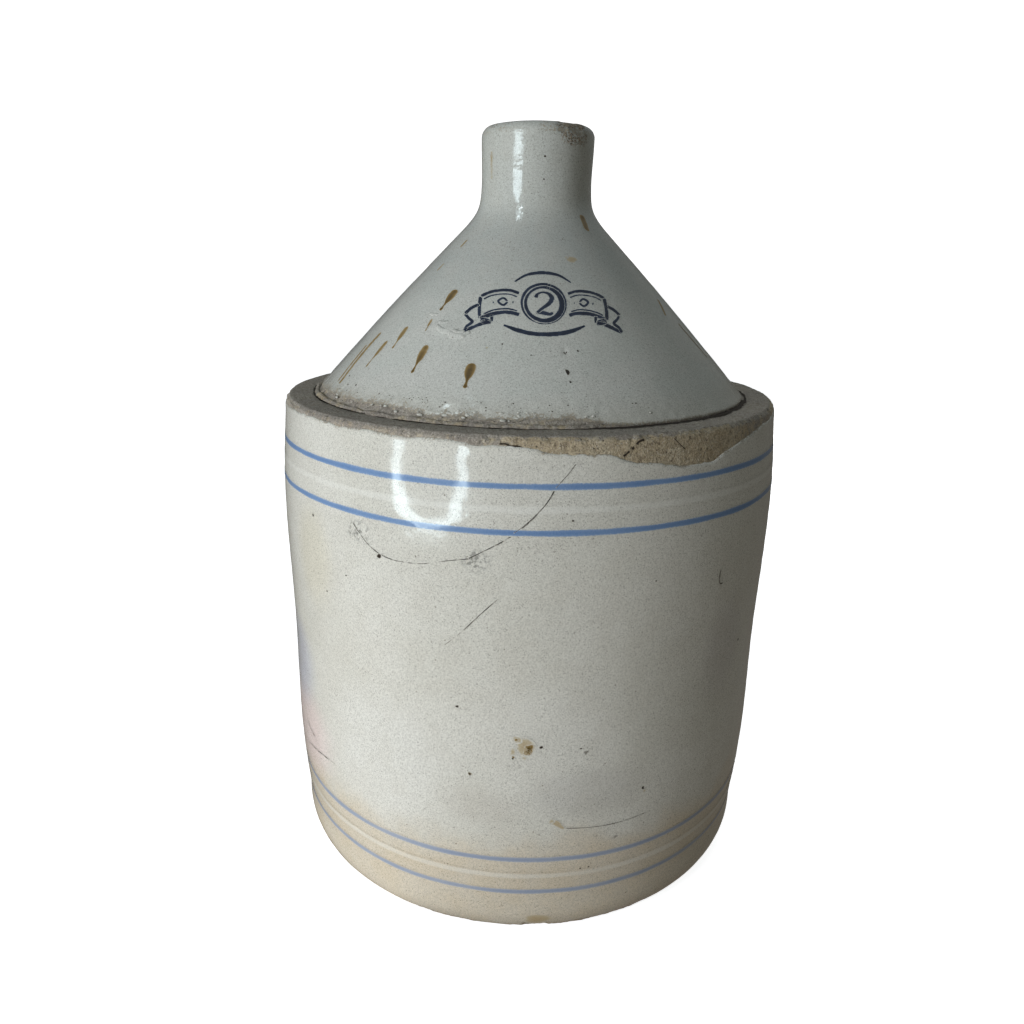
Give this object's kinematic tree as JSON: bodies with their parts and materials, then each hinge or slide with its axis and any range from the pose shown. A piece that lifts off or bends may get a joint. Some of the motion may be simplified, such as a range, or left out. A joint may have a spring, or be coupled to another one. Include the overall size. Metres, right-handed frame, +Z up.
{
  "type": "stoneware shoulder jug",
  "caption": "Two-part stoneware jug with a straight-sided pot, a flat shoulder ledge, a cone top with a short neck, and a strap handle.",
  "frame": {"origin": "centre of the base, on the surface that the jug stands on", "axes": "+Z up along the neck, -Y towards the side with the capacity mark, +Y towards the handle"},
  "size_m": [0.2308, 0.2308, 0.332],
  "materials": {
    "bare_stoneware": "rough, unglazed, fired buff to grey-brown",
    "white_glaze": "glossy off-white glaze with fine dark speckle",
    "brown_slip": "semi-gloss brown slip glaze",
    "blue_paint": "cobalt line under a glossy glaze",
    "white_paint": "faint white line under a glossy glaze",
    "stamp_ink": "dark blue-black stamped colour under a glossy glaze"
  },
  "bodies": {
    "root": {"body_pot": "bare_stoneware", "shoulder_top": "bare_stoneware", "seam_slip_outer": "bare_stoneware", "seam_slip_inner": "bare_stoneware", "handle_strap": "bare_stoneware", "handle_slip_upper": "white_glaze", "handle_slip_lower": "white_glaze", "body_glaze": "white_glaze", "shoulder_glaze": "white_glaze", "handle_glaze": "white_glaze", "lining_slip": "brown_slip", "blue_band_1": "blue_paint", "blue_band_2": "blue_paint", "blue_band_3": "blue_paint", "blue_band_4": "blue_paint", "white_band_upper": "white_paint", "white_band_lower": "white_paint"}
  },
  "joints": []
}
